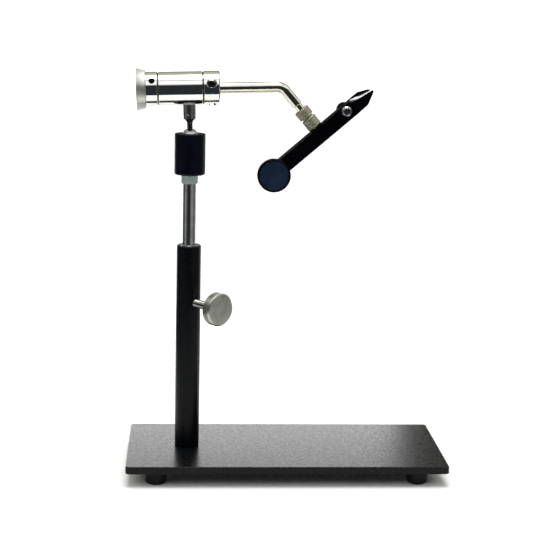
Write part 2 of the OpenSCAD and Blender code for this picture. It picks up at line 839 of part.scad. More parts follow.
// Fulcrum that the near jaw rocks on, round the adjusting screw
module fulcrum_ring() {
    color("silver") on_bar() across(fulcrum_s, adjusting_rise) difference() {
        translate([0, 0, run_fit - half_gap])
            turned(fulcrum_r, jaw_gap - 4 * run_fit, small_chamfer, 2 * small_chamfer);
        drill(adjusting_r + run_fit, -jaw_gap, jaw_gap);
    }
}

module adjusting_screw() {
    color("white") on_bar() across(fulcrum_s, adjusting_rise) difference() {
        union() {
            drill(adjusting_r, small_chamfer - adjusting_nut_z - adjusting_nut_h,
                adjusting_head_z + small_chamfer);
            translate([0, 0, adjusting_head_z])
                turned(adjusting_head_d / 2, adjusting_head_h, small_chamfer / 2, adjusting_head_h * 0.7);
        }
        translate([0, 0, adjusting_head_z + adjusting_head_h * 0.2])
            cylinder(d = adjusting_key_d, h = adjusting_head_h, $fn = 6);
    }
}

module adjusting_washer() {
    color("silver") on_bar() across(fulcrum_s, adjusting_rise)
        translate([0, 0, -half_t - run_fit - adjusting_washer_t]) difference() {
            cylinder(r = adjusting_washer_r, h = adjusting_washer_t);
            drill(adjusting_r + run_fit, -overrun, adjusting_washer_t + overrun);
        }
}

module adjusting_nut() {
    color([0.08, 0.08, 0.09]) on_bar() across(fulcrum_s, adjusting_rise)
        translate([0, 0, -adjusting_nut_z - adjusting_nut_h]) difference() {
            turned(adjusting_nut_d / 2, adjusting_nut_h, small_chamfer * 2, small_chamfer);
            drill(adjusting_r + run_fit, -overrun, adjusting_nut_h + overrun);
        }
}

// Middle of the spring's wire after a turn of a degrees
function spring_point(a) = [
    spring_r * cos(a), spring_r * sin(a), spring_rise * (2 * a / (360 * spring_turns) - 1)
];

// Ring of points round the wire after a turn of a degrees
function wire_ring(a) = [
    for (k = [0:spring_sides - 1]) let (b = -360 * k / spring_sides, p = spring_point(a))
        [p[0] + spring_wire_r * cos(b) * cos(a), p[1] + spring_wire_r * cos(b) * sin(a),
         p[2] + spring_wire_r * sin(b)]
];

// Least gap between two turns of the spring, measured on the middle line of its wire
function coil_gap() = min([
    for (i = [0:spring_steps * (spring_turns - 1)], j = [spring_steps / 2:spring_steps * 3 / 2])
        if (i + j <= spring_steps * spring_turns)
            norm(spring_point(360 * (i + j) / spring_steps) - spring_point(360 * i / spring_steps))
]) - 2 * spring_wire_r;

// Small spring that opens the tips when the closing knob is backed off
module jaw_spring() {
    rings = spring_steps * spring_turns;
    n = spring_sides;
    points = [for (i = [0:rings]) each wire_ring(360 * i / spring_steps)];
    walls = [
        for (i = [0:rings - 1], k = [0:n - 1]) let (m = (k + 1) % n)
            each [[i * n + k, i * n + m, i * n + n + m], [i * n + k, i * n + n + m, i * n + n + k]]
    ];
    caps = [[for (k = [0:n - 1]) n - 1 - k], [for (k = [0:n - 1]) rings * n + k]];
    echo(str("Jaw spring: least gap to itself ", coil_gap(), " mm"));
    color("silver") on_bar() across(spring_s) polyhedron(points, concat(walls, caps));
}

module closing_screw() {
    color("silver") on_bar() across(-closing_s) translate([0, 0, closing_tip])
        turned(closing_r, closing_screw_end - closing_tip, closing_r / 2, small_chamfer);
}

module closing_knob() {
    color([0.12, 0.16, 0.2]) on_bar() across(-closing_s) difference() {
        union() {
            translate([0, 0, closing_knob_z])
                turned(closing_knob_d / 2, closing_knob_h, knob_chamfer, knob_chamfer);
            translate([0, 0, closing_hub_z])
                turned(closing_hub_r, closing_knob_h / 2 + closing_knob_z - closing_hub_z,
                    small_chamfer, small_chamfer);
        }
        drill(closing_r + run_fit, closing_hub_z - overrun, closing_screw_end + seat_gap);
    }
}

base_plate();
rubber_feet();
foot_screws();
post();
post_bolt();
clamp_bush();
height_screw();
height_knob();
stem();
jam_nut();
ball_seat();
clamp_sleeve();
ball_stud();
head_post();
head_post_screw();
housing();
rear_bearing();
front_bearing();
rotary_shaft();
rear_knob();
knob_screw();
rear_ring();
rear_ring_screw();
rear_washer();
front_washer();
front_ring();
front_ring_screws();
arm();
collet_nut();
collet_ferrule();
collet_body();
far_jaw();
near_jaw();
guide_pin();
jaw_spring();
fulcrum_ring();
adjusting_screw();
adjusting_washer();
adjusting_nut();
closing_screw();
closing_knob();
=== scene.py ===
import math

import bmesh
import bpy
from mathutils import Matrix, Vector


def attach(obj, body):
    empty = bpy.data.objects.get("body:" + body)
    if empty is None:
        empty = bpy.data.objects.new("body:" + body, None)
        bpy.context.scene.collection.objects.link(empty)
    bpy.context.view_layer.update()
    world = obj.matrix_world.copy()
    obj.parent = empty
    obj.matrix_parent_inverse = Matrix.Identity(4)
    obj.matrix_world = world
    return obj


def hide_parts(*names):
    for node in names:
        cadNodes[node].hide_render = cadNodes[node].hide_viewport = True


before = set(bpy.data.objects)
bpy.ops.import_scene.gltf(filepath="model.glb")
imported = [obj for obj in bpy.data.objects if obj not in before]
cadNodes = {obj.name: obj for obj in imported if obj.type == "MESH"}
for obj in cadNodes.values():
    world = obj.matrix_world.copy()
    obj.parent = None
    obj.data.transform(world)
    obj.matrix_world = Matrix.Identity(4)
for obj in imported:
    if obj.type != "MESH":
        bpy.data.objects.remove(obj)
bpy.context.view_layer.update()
print("frame loaded:", len(cadNodes), "nodes")


def shift(x, y, z):
    return Matrix.Translation((x, y, z))


def turn(degrees, axis):
    return Matrix.Rotation(math.radians(degrees), 4, axis)


# places on the vise, in millimetres, as the CAD frame has them
layout = {
    "postX": -77.7,           # post axis
    "ballZ": 260.3,           # middle of the ball
    "headTilt": 2.2,          # nose of the head up
    "axisHeight": 36.7,       # rotary axis above the ball
    "armReach": 70.2,         # corner of the bent arm, ahead of the ball
    "armBend": 51,
    "barDrop": 46.05,         # middle of the jaws below the corner of the arm
    "heightScrewZ": 133.5,
    "heightScrewAngle": 39.6,
}

postPlace = shift(layout["postX"], 0, 0)
headPlace = shift(layout["postX"], 0, layout["ballZ"]) @ turn(-layout["headTilt"], "Y")
axisPlace = headPlace @ shift(0, 0, layout["axisHeight"]) @ turn(90, "Y")       # local Z runs forward
cornerPlace = headPlace @ shift(layout["armReach"], 0, layout["axisHeight"])
legPlace = cornerPlace @ turn(90 + layout["armBend"], "Y")                      # local Z runs down the leg
barPlace = legPlace @ shift(0, 0, layout["barDrop"]) @ turn(-180, "Y")          # local X runs to the tips
heightPlace = (postPlace @ shift(0, 0, layout["heightScrewZ"])
               @ turn(layout["heightScrewAngle"], "Z") @ turn(90, "X"))         # local Z runs outward


# a place along the jaws, with local Z toward the tier
def across(along, rise=0):
    return barPlace @ shift(along, 0, rise) @ turn(90, "X")


# every colour is an sRGB hex value, and goes through this one function
def shade(hexValue):
    parts = [int(hexValue[i:i + 2], 16) / 255 for i in (1, 3, 5)]
    linear = [p / 12.92 if p <= 0.04045 else ((p + 0.055) / 1.055) ** 2.4 for p in parts]
    return (*linear, 1.0)


def addNode(tree, kind, settings=None, values=None, links=None):
    node = tree.nodes.new(kind)
    for name, value in (settings or {}).items():
        setattr(node, name, value)
    for name, value in (values or {}).items():
        node.inputs[name].default_value = value
    for name, source in (links or {}).items():
        tree.links.new(source, node.inputs[name])
    return node


def startMaterial(name, color, roughness, **more):
    material = bpy.data.materials.new(name)
    material.use_nodes = True
    tree = material.node_tree
    shader = tree.nodes["Principled BSDF"]
    shader.inputs["Base Color"].default_value = shade(color)
    shader.inputs["Roughness"].default_value = roughness
    for socket, value in more.items():
        shader.inputs[socket.replace("_", " ")].default_value = value
    return material, tree, shader


def fineNoise(tree, millimetres, detail):
    place = addNode(tree, "ShaderNodeTexCoord")
    noise = addNode(tree, "ShaderNodeTexNoise", values={"Scale": 1000 / millimetres, "Detail": detail},
                    links={"Vector": place.outputs["Object"]})
    return noise.outputs["Fac"]


# noise stays mostly between 0.3 and 0.7, so that span is what gets spread
def spread(tree, source, low, high, start=0.3, end=0.7):
    return addNode(tree, "ShaderNodeMapRange",
                   values={"From Min": start, "From Max": end, "To Min": low, "To Max": high},
                   links={"Value": source}).outputs["Result"]


def addBump(tree, shader, source, depthMm, strength):
    bump = addNode(tree, "ShaderNodeBump", values={"Strength": strength, "Distance": depthMm / 1000},
                   links={"Height": source})
    tree.links.new(bump.outputs["Normal"], shader.inputs["Normal"])


def tintBetween(tree, shader, source, dark, light):
    mix = addNode(tree, "ShaderNodeMix", settings={"data_type": "RGBA"}, links={0: source})
    mix.inputs[6].default_value = shade(dark)
    mix.inputs[7].default_value = shade(light)
    tree.links.new(mix.outputs[2], shader.inputs["Base Color"])


# polyester powder coat, sprayed and baked: a fine speckle and orange peel that break up the gloss
# the real peel is about 0.4 mm, and is drawn coarser so that it shows from a step away
coat = {"smoother": 0.07, "rougher": 0.09, "bump": 0.6}


def makePowderCoat(name, dark, light, roughness, peelMm, depthMm, gloss, detail=2.0):
    material, tree, shader = startMaterial(name, dark, roughness, Specular_IOR_Level=gloss)
    peel = fineNoise(tree, peelMm, detail)
    tintBetween(tree, shader, spread(tree, peel, 0.0, 1.0), dark, light)
    rough = spread(tree, peel, roughness - coat["smoother"], roughness + coat["rougher"])
    tree.links.new(rough, shader.inputs["Roughness"])
    addBump(tree, shader, peel, depthMm, coat["bump"])
    return material


# turned and buffed metal: nearly a mirror, with faint marks of the lathe and a little haze
# real marks are under 0.1 mm apart, and are drawn coarser because those would not show
# edge is the tint that the metal takes where it turns away from the eye
turned = {"hazeMm": 6.0, "smoother": 0.8, "rougher": 1.25, "bump": 0.4}


def makeTurnedMetal(name, dark, light, roughness, lineMm=0.5, depthMm=0.002, edge="#ffffff"):
    material, tree, shader = startMaterial(name, light, roughness, Metallic=1.0, Specular_Tint=shade(edge))
    haze = fineNoise(tree, turned["hazeMm"], 3.0)
    tintBetween(tree, shader, spread(tree, haze, 0.0, 1.0), dark, light)
    grain = fineNoise(tree, lineMm, 2.0)
    rough = spread(tree, grain, roughness * turned["smoother"], roughness * turned["rougher"])
    tree.links.new(rough, shader.inputs["Roughness"])
    addBump(tree, shader, grain, depthMm, turned["bump"])
    return material


# black finish, oxidised or anodised: dark, slightly blue, with rubbed patches where the gloss changes
blacking = {"patchMm": 9.0, "smoother": 0.05, "rougher": 0.08, "grainMm": 0.6, "depthMm": 0.006, "bump": 0.3}


def makeBlackFinish(name, dark, light, roughness, gloss=0.2):
    material, tree, shader = startMaterial(name, dark, roughness, Specular_IOR_Level=gloss)
    patches = fineNoise(tree, blacking["patchMm"], 4.0)
    tintBetween(tree, shader, spread(tree, patches, 0.0, 1.0), dark, light)
    rough = spread(tree, patches, roughness - blacking["smoother"], roughness + blacking["rougher"])
    tree.links.new(rough, shader.inputs["Roughness"])
    grain = fineNoise(tree, blacking["grainMm"], 2.0)
    addBump(tree, shader, grain, blacking["depthMm"], blacking["bump"])
    return material


# moulded rubber: matt, with a faint grain from the mould
rubber = {"color": "#070707", "dark": "#050505", "light": "#0b0b0b", "roughness": 0.62, "gloss": 0.2,
          "grainMm": 0.8, "depthMm": 0.04, "bump": 0.5}


def makeRubber(name):
    material, tree, shader = startMaterial(name, rubber["color"], rubber["roughness"],
                                           Specular_IOR_Level=rubber["gloss"])
    grain = fineNoise(tree, rubber["grainMm"], 3.0)
    tintBetween(tree, shader, grain, rubber["dark"], rubber["light"])
    addBump(tree, shader, grain, rubber["depthMm"], rubber["bump"])
    return material


# plate: a grey sheen with a light speckle; post: smoother and slightly blue
powderCoat = makePowderCoat("powderCoatBlack", "#050607", "#0d0e10", 0.28, 1.9, 0.06, 0.16, 8.0)
postPaint = makePowderCoat("postPaintBlack", "#020408", "#04070d", 0.32, 1.0, 0.004, 0.14)
# dyed and sealed aluminium, and oxide baths on steel: nearly no shine, with a blue cast
sleeveBlack = makeBlackFinish("blackAnodisedSleeve", "#020311", "#040518", 0.42, 0.12)
jawBlack = makeBlackFinish("blackOxideSteel", "#030308", "#06060c", 0.42, 0.05)
blackScrew = makeBlackFinish("blackScrewSteel", "#060607", "#0c0c0d", 0.35)
washerBlack = makeBlackFinish("blackAcetal", "#060607", "#0b0b0c", 0.45)
slateBlue = makeBlackFinish("slateAnodised", "#15233a", "#1c3148", 0.36, 0.25)        # soft slate blue face
moulded = makeRubber("mouldedRubber")
# ground and plated rods: sharp dark and white bands, grey or brown toward their sides
stemSteel = makeTurnedMetal("centrelessGroundSteel", "#b4b8b6", "#cfd2d0", 0.1, edge="#6c716e")
armSteel = makeTurnedMetal("nickelPlatedRod", "#d2cebe", "#e2dfd0", 0.07, edge="#4c493c")
# buffed aluminium mirrors the studio; the knob is blasted first, so it is pale and even
aluminium = makeTurnedMetal("polishedAluminium", "#e4e5e1", "#f4f5f1", 0.06, edge="#b9bab0")
knobAluminium = makeTurnedMetal("satinAluminium", "#cdcec5", "#dddfd6", 0.42)
# nickel plate over knurls: a warm grey that is dull on the collet
nickel = makeTurnedMetal("satinNickel", "#a2a49c", "#bbbdb5", 0.34)
colletNickel = makeTurnedMetal("dullNickel", "#a3a18d", "#b9b6a2", 0.6)
zinc = makeTurnedMetal("blueZincPlate", "#c4e0da", "#ddefeb", 0.12, 0.5, 0.0005)      # pale green-blue cast
# the ball is polished, its stud and the post of the head are left dark from the lathe
chrome = makeTurnedMetal("hardChromeBall", "#a3a6a6", "#b3b6b6", 0.08)
studSteel = makeTurnedMetal("blackenedStudSteel", "#4a4c4b", "#626463", 0.26)
postSteel = makeTurnedMetal("darkTurnedSteel", "#868887", "#a0a2a1", 0.26)
# bright metal for the nose bevel of the near jaw; its white flash along the nose is a painted highlight, set
# below as a fade from black
bevelSteelPaintedHighlight = makeTurnedMetal("jawBevelPaintedHighlight", "#e2e2e4", "#f6f6f6", 0.22, 0.35, 0.001)
# small hardware: bright, less so where it is plain steel; the bushes are warm and dull
screwSteel = makeTurnedMetal("turnedScrewSteel", "#97989a", "#b0b1b2", 0.2, edge="#55575a")
threadSteel = makeTurnedMetal("plainThreadSteel", "#72736f", "#8c8d89", 0.2)
fastenerSteel = makeTurnedMetal("platedFastener", "#b9bab8", "#d8d9d6", 0.18)
bushSteel = makeTurnedMetal("zincedBush", "#9fa6ad", "#c3c9cf", 0.25)
bronze = makeTurnedMetal("sinteredBronze", "#8a6a3f", "#ab8651", 0.35)
print("materials made:", len(bpy.data.materials))

# making pieces: all sizes from here on are in millimetres
making = {"scale": 0.001, "weld": 0.0005, "nodeWeld": 0.0008, "flatDegrees": 0.4}


def finishPiece(bm, name, place, body, material, replaced, smoothAngle=32):
    bmesh.ops.transform(bm, matrix=place, verts=bm.verts)
    bmesh.ops.scale(bm, vec=[making["scale"]] * 3, verts=bm.verts)
    for face in bm.faces:
        face.smooth = True
    for edge in bm.edges:
        if len(edge.link_faces) == 2:
            edge.smooth = edge.calc_face_angle(0) < math.radians(smoothAngle)
    mesh = bpy.data.meshes.new(name)
    bm.to_mesh(mesh)
    bm.free()
    piece = bpy.data.objects.new(name, mesh)
    bpy.context.collection.objects.link(piece)
    for one in (material if isinstance(material, list) else [material]):
        piece.data.materials.append(one)
    # flats stay flat up to their rounded edges
    piece.modifiers.new("evenNormals", "WEIGHTED_NORMAL").keep_sharp = True
    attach(piece, body)
    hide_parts(replaced)


# a profile's corners are (radius, height), with a rounding and its number of steps where it has one
def spinProfile(profile, steps=96, closed=False):
    bm = bmesh.new()
    verts = [bm.verts.new((r, 0, z)) for r, z, *_ in profile]
    for pair in zip(verts, verts[1:]):
        bm.edges.new(pair)
    if closed:
        bm.edges.new((verts[-1], verts[0]))
    for vert, corner in zip(verts, profile):
        if len(corner) > 2:
            bmesh.ops.bevel(bm, geom=[vert], offset=corner[2], offset_type="OFFSET",
                            segments=corner[3] if len(corner) > 3 else 4, profile=0.5,
                            affect="VERTICES", material=-1)
    bmesh.ops.spin(bm, geom=bm.verts[:] + bm.edges[:], cent=(0, 0, 0), axis=(0, 0, 1),
                   dvec=(0, 0, 0), angle=2 * math.pi, steps=steps, use_merge=True, use_duplicate=False)
    bmesh.ops.remove_doubles(bm, verts=bm.verts, dist=making["weld"])
    bmesh.ops.recalc_face_normals(bm, faces=bm.faces)
    return bm


# a CAD node's own shape, with its sharp edges rounded
def copyNode(node, edgeMm, segments=2, sharp=25):
    bm = bmesh.new()
    bm.from_mesh(cadNodes[node].data)
    bmesh.ops.scale(bm, vec=[1 / making["scale"]] * 3, verts=bm.verts)
    bmesh.ops.remove_doubles(bm, verts=bm.verts, dist=making["nodeWeld"])
    bmesh.ops.dissolve_limit(bm, angle_limit=math.radians(making["flatDegrees"]),
                             verts=bm.verts, edges=bm.edges)
    corners = [e for e in bm.edges if len(e.link_faces) == 2 and e.calc_face_angle(0) > math.radians(sharp)]
    bmesh.ops.bevel(bm, geom=corners, offset=edgeMm, offset_type="OFFSET", segments=segments,
                    profile=0.5, affect="EDGES", material=-1, clamp_overlap=True)
    return bm


def localRadius(point):
    return math.hypot(point.x, point.y)


knurl = {"rowHeight": 0.5, "slack": 0.01}


# straight teeth: every other column of the rim goes inward; diamonds: every other vertex does
def knurlRim(bm, radius, low, high, depth, steps, diamond, flare=0):
    for vert in bm.verts:
        onRim = radius - flare - knurl["slack"] < localRadius(vert.co) < radius + knurl["slack"]
        if onRim and low < vert.co.z < high:
            column = round(math.degrees(math.atan2(vert.co.y, vert.co.x)) / 360 * steps)
            row = round(vert.co.z / knurl["rowHeight"]) if diamond else 0
            if (column + row) % 2:
                share = 1 - depth / radius
                vert.co.x *= share
                vert.co.y *= share


# the corners of a rim to be knurled, one row above the other
def rimRows(radius, start, rows):
    return [(radius, start + knurl["rowHeight"] * i) for i in range(rows)]


# base: plate, feet, post
plate = {"edgeMm": 0.3}
bm = copyNode("base_plate", plate["edgeMm"], 3, 30)
finishPiece(bm, "basePlate", Matrix(), "base", powderCoat, "base_plate")

feet = {"radius": 8.8, "height": 10.5, "taper": 1.0, "bore": 2.1, "wellRadius": 4.6, "wellDepth": 7.0,
        "x": 101, "y": 39}
bm = bmesh.new()
for sx in (-1, 1):
    for sy in (-1, 1):
        foot = spinProfile([
            (feet["bore"], feet["wellDepth"]), (feet["wellRadius"], feet["wellDepth"], 0.4),
            (feet["wellRadius"], 0, 0.5), (feet["radius"] - feet["taper"], 0, 1.5),
            (feet["radius"], feet["height"], 0.4), (feet["bore"], feet["height"])], 64, closed=True)
        bmesh.ops.transform(foot, matrix=shift(sx * feet["x"], sy * feet["y"], 0), verts=foot.verts)
        footMesh = bpy.data.meshes.new("oneFoot")
        foot.to_mesh(footMesh)
        foot.free()
        bm.from_mesh(footMesh)
        bpy.data.meshes.remove(footMesh)
finishPiece(bm, "bumperFeet", Matrix(), "base", moulded, "rubber_feet")

post = {"edgeMm": 0.2}
bm = copyNode("post", post["edgeMm"], 2, 30)
finishPiece(bm, "postColumn", Matrix(), "base", postPaint, "post")
print("base made")

# height screw and its knob
heightScrew = {"radius": 3.175, "start": 6.45, "end": 36.1, "pitch": 1.27, "depth": 0.45,
               "crestDrop": 0.1, "crestHalf": 0.06, "steps": 48, "weld": 0.004, "flat": 0.001}


def threadedRod(rod):
    bm = bmesh.new()
    turns = int((rod["end"] - rod["start"]) / rod["pitch"]) + 2
    root = rod["radius"] - rod["depth"]
    crest = rod["radius"] - rod["depth"] * rod["crestDrop"]
    half = rod["crestHalf"]
    oneTurn = ((root, 0), (crest, 0.5 - half), (rod["radius"], 0.5), (crest, 0.5 + half), (root, 1))
    verts = [bm.verts.new((r, 0, rod["start"] - rod["pitch"] + z * rod["pitch"])) for r, z in oneTurn]
    edges = [bm.edges.new(pair) for pair in zip(verts, verts[1:])]
    bmesh.ops.spin(bm, geom=verts + edges, cent=(0, 0, 0), axis=(0, 0, 1),
                   dvec=(0, 0, rod["pitch"] / rod["steps"]), angle=2 * math.pi * turns,
                   steps=rod["steps"] * turns, use_merge=False, use_duplicate=False)
    bmesh.ops.remove_doubles(bm, verts=bm.verts, dist=rod["weld"])
    for level, way in ((rod["start"], -1), (rod["end"], 1)):
        bmesh.ops.bisect_plane(bm, geom=bm.verts[:] + bm.edges[:] + bm.faces[:], plane_co=(0, 0, level),
                               plane_no=(0, 0, way), clear_outer=True, clear_inner=False)
    for level in (rod["start"], rod["end"]):
        rim = [e for e in bm.edges if len(e.link_faces) == 1
               and all(abs(v.co.z - level) < rod["flat"] for v in e.verts)]
        bmesh.ops.contextual_create(bm, geom=rim)
    bmesh.ops.recalc_face_normals(bm, faces=bm.faces)
    return bm


bm = threadedRod(heightScrew)
finishPiece(bm, "heightThread", heightPlace, "height_screw", threadSteel, "height_screw",
            smoothAngle=50)

heightKnob = {"radius": 12.7, "near": 30.5, "far": 38.5, "bore": 3.225, "boreEnd": 36.2, "hubRadius": 6.0,
              "hubStep": 0.6, "backRadius": 11.6, "backEdge": 1.4, "faceRadius": 11.5, "faceEdge": 1.2,
              "rows": 11, "firstRow": 0.2, "knurlInset": 0.1, "teeth": 66, "toothDepth": 0.3}
steps = heightKnob["teeth"] * 2
back = heightKnob["near"] + heightKnob["hubStep"]
edgeStart = heightKnob["near"] + heightKnob["backEdge"]
edgeEnd = heightKnob["far"] - heightKnob["faceEdge"]
bm = spinProfile([
    (heightKnob["bore"], heightKnob["near"]), (heightKnob["hubRadius"], heightKnob["near"], 0.2),
    (heightKnob["hubRadius"] + heightKnob["hubStep"], back, 0.3), (heightKnob["backRadius"], back, 0.4),
    (heightKnob["radius"], edgeStart, 0.2)]
    + rimRows(heightKnob["radius"], edgeStart + heightKnob["firstRow"], heightKnob["rows"]) + [
    (heightKnob["radius"], edgeEnd), (heightKnob["faceRadius"], heightKnob["far"], 0.4),
    (0, heightKnob["far"]), (0, heightKnob["boreEnd"]), (heightKnob["bore"], heightKnob["boreEnd"])], steps)
knurlRim(bm, heightKnob["radius"], edgeStart + heightKnob["knurlInset"], edgeEnd - heightKnob["knurlInset"],
         heightKnob["toothDepth"], steps, True)
finishPiece(bm, "heightKnobDisc", heightPlace, "height_knob", nickel, "height_knob")
print("height screw made")

# stem, nut, sleeve
stemRod = {"radius": 5.0, "low": 93.5, "shoulder": 225.5, "threadRadius": 4.0, "top": 250.3}
bm = spinProfile([
    (0, stemRod["low"]), (stemRod["radius"], stemRod["low"], 0.8),
    (stemRod["radius"], stemRod["shoulder"], 0.3), (stemRod["threadRadius"], stemRod["shoulder"]),
    (stemRod["threadRadius"], stemRod["top"], 0.3), (0, stemRod["top"])], 128)
finishPiece(bm, "polishedStem", postPlace, "stem", stemSteel, "stem")

nut = {"edgeMm": 0.12}
bm = copyNode("jam_nut", nut["edgeMm"], 2, 20)
finishPiece(bm, "jamNut", Matrix(), "jam_nut", zinc, "jam_nut", smoothAngle=18)

sleeve = {"radius": 11.8, "bottom": 232.2, "top": 263.5, "bottomEdge": 1.6, "topEdge": 1.0,
          "threadRadius": 4.05, "bore": 7.15, "boreFloor": 244.2, "ballFit": 6.4,
          "mouthFlare": 0.6, "mouthLip": 0.1, "mouthDepth": 0.4}
ballMouth = math.sqrt(sleeve["ballFit"] ** 2 - (sleeve["top"] - layout["ballZ"]) ** 2)
bm = spinProfile([
    (sleeve["threadRadius"], sleeve["bottom"], 0.3),
    (sleeve["radius"], sleeve["bottom"], sleeve["bottomEdge"], 8),
    (sleeve["radius"], sleeve["top"], sleeve["topEdge"], 8),
    (ballMouth + sleeve["mouthFlare"], sleeve["top"], 0.15),
    (ballMouth + sleeve["mouthLip"], sleeve["top"] - sleeve["mouthDepth"], 0.1),
    (sleeve["ballFit"], layout["ballZ"]), (sleeve["bore"], layout["ballZ"]),
    (sleeve["bore"], sleeve["boreFloor"]), (sleeve["threadRadius"], sleeve["boreFloor"])], 128, closed=True)
finishPiece(bm, "clampSleeve", postPlace, "sleeve", sleeveBlack, "clamp_sleeve")
print("stem made")

# ball stud and head post
ball = {"radius": 6.35, "round": 6.3, "neck": 2.2, "neckTop": 11.6, "flare": 2.675, "shank": 2.5,
        "shankTop": 23.44, "darkFrom": 5.75}
flareTop = ball["neckTop"] + ball["flare"]
bm = spinProfile([
    (0, -ball["radius"]), (ball["radius"], -ball["radius"], ball["round"], 24),
    (ball["radius"], ball["radius"], ball["round"], 24), (ball["neck"], ball["radius"]),
    (ball["neck"], ball["neckTop"], 1.0, 6), (ball["neck"] + ball["flare"], flareTop),
    (ball["shank"], flareTop), (ball["shank"], ball["shankTop"], 0.3), (0, ball["shankTop"])], 128)
for face in bm.faces:
    if face.calc_center_median().z > ball["darkFrom"]:
        face.material_index = 1
finishPiece(bm, "ballStud", headPlace, "head", [chrome, studSteel], "ball_stud")

headPost = {"edgeMm": 0.12}
bm = copyNode("head_post", headPost["edgeMm"], 2, 30)
finishPiece(bm, "headPost", Matrix(), "head", postSteel, "head_post")

# rotary head
housing = {"radius": 12.7, "back": -22.5, "front": 10.3, "bore": 7.95, "edge": 0.35}
bm = spinProfile([
    (housing["bore"], housing["back"]), (housing["radius"], housing["back"], housing["edge"]),
    (housing["radius"], housing["front"], housing["edge"]), (housing["bore"], housing["front"])],
    160, closed=True)
finishPiece(bm, "headHousing", axisPlace, "head", aluminium, "housing")

# the rim of the rear knob narrows toward the housing
rearKnob = {"radius": 15.875, "frontRadius": 14.3, "back": -38.9, "front": -32.2, "bore": 6.05,
            "boreBack": -35.35, "screwBore": 2.8, "headBore": 4.8, "headFloor": -37.05, "backEdge": 0.3,
            "frontEdge": 0.4, "rows": 13, "rowGap": 0.475, "firstRow": 0.5, "knurlStart": 0.4, "knurlEnd": 0.5,
            "teeth": 112, "toothDepth": 0.25}
steps = rearKnob["teeth"] * 2
flare = rearKnob["radius"] - rearKnob["frontRadius"]
rim = [(rearKnob["radius"] - flare * math.sin(i / (rearKnob["rows"] - 1) * math.pi / 2),
        rearKnob["back"] + rearKnob["firstRow"] + rearKnob["rowGap"] * i) for i in range(rearKnob["rows"])]
bm = spinProfile([
    (rearKnob["screwBore"], rearKnob["headFloor"]), (rearKnob["headBore"], rearKnob["headFloor"]),
    (rearKnob["headBore"], rearKnob["back"], 0.15),
    (rearKnob["radius"] - rearKnob["backEdge"], rearKnob["back"])] + rim + [
    (rearKnob["frontRadius"] - rearKnob["frontEdge"], rearKnob["front"]),
    (rearKnob["bore"], rearKnob["front"]), (rearKnob["bore"], rearKnob["boreBack"]),
    (rearKnob["screwBore"], rearKnob["boreBack"])], steps, closed=True)
knurlRim(bm, rearKnob["radius"], rearKnob["back"] + rearKnob["knurlStart"],
         rearKnob["front"] - rearKnob["knurlEnd"], rearKnob["toothDepth"], steps, True, flare)
finishPiece(bm, "rearKnob", axisPlace, "rotor", knobAluminium, "rear_knob")

ring = {"edgeMm": 0.1}
bm = copyNode("rear_ring", ring["edgeMm"], 2, 24)
finishPiece(bm, "rearRing", Matrix(), "rotor", aluminium, "rear_ring")
bm = copyNode("front_ring", ring["edgeMm"], 2, 24)
finishPiece(bm, "frontRing", Matrix(), "rotor", aluminium, "front_ring")
print("head made")

# arm: a rod along the rotary axis, bent, with a turned-down end
arm = {"radius": 3.97, "start": 2.9, "bendRadius": 8.0, "run": 3.816, "shoulder": 17.9, "spigot": 3.1,
       "end": 39.0, "easeLength": 0.25, "easeShare": 0.975, "edgeLength": 0.45, "edgeShare": 0.9,
       "tipLength": 0.3}
bm = bmesh.new()
bmesh.ops.create_circle(bm, cap_ends=True, radius=arm["radius"], segments=64,
                        matrix=shift(arm["start"] - layout["armReach"], 0, 0) @ turn(90, "Y"))


def faceIn(geometry):
    return [g for g in geometry if isinstance(g, bmesh.types.BMFace)][0]


tip = faceIn(bmesh.ops.extrude_face_region(bm, geom=bm.faces[:])["geom"])
straight = layout["armReach"] - arm["run"] - arm["start"]
bmesh.ops.translate(bm, vec=(straight, 0, 0), verts=tip.verts)
bend = math.radians(layout["armBend"])
bent = bmesh.ops.spin(bm, geom=[tip], cent=(-arm["run"], 0, -arm["bendRadius"]), axis=(0, 1, 0),
                      dvec=(0, 0, 0), angle=bend, steps=24, use_merge=False, use_duplicate=False)
tip = faceIn(bent["geom_last"])
legWay = Vector((math.cos(bend), 0, -math.sin(bend)))
leg = [(arm["shoulder"] - arm["run"] - arm["easeLength"] - arm["edgeLength"], 1.0),
       (arm["easeLength"], arm["easeShare"]), (arm["edgeLength"], arm["edgeShare"]),
       (0.0, arm["spigot"] / (arm["radius"] * arm["easeShare"] * arm["edgeShare"])),
       (arm["end"] - arm["shoulder"] - arm["tipLength"], 1.0), (arm["tipLength"], arm["edgeShare"])]
for length, share in leg:
    tip = faceIn(bmesh.ops.extrude_face_region(bm, geom=[tip])["geom"])
    middle = tip.calc_center_median()
    for vert in tip.verts:
        vert.co = middle + (vert.co - middle) * share + legWay * length
inner = [f for f in bm.faces if all(len(e.link_faces) > 2 for e in f.edges)]
bmesh.ops.delete(bm, geom=inner, context="FACES_ONLY")
bmesh.ops.remove_doubles(bm, verts=bm.verts, dist=making["weld"])
bmesh.ops.recalc_face_normals(bm, faces=bm.faces)
finishPiece(bm, "bentArm", cornerPlace, "rotor", armSteel, "arm")

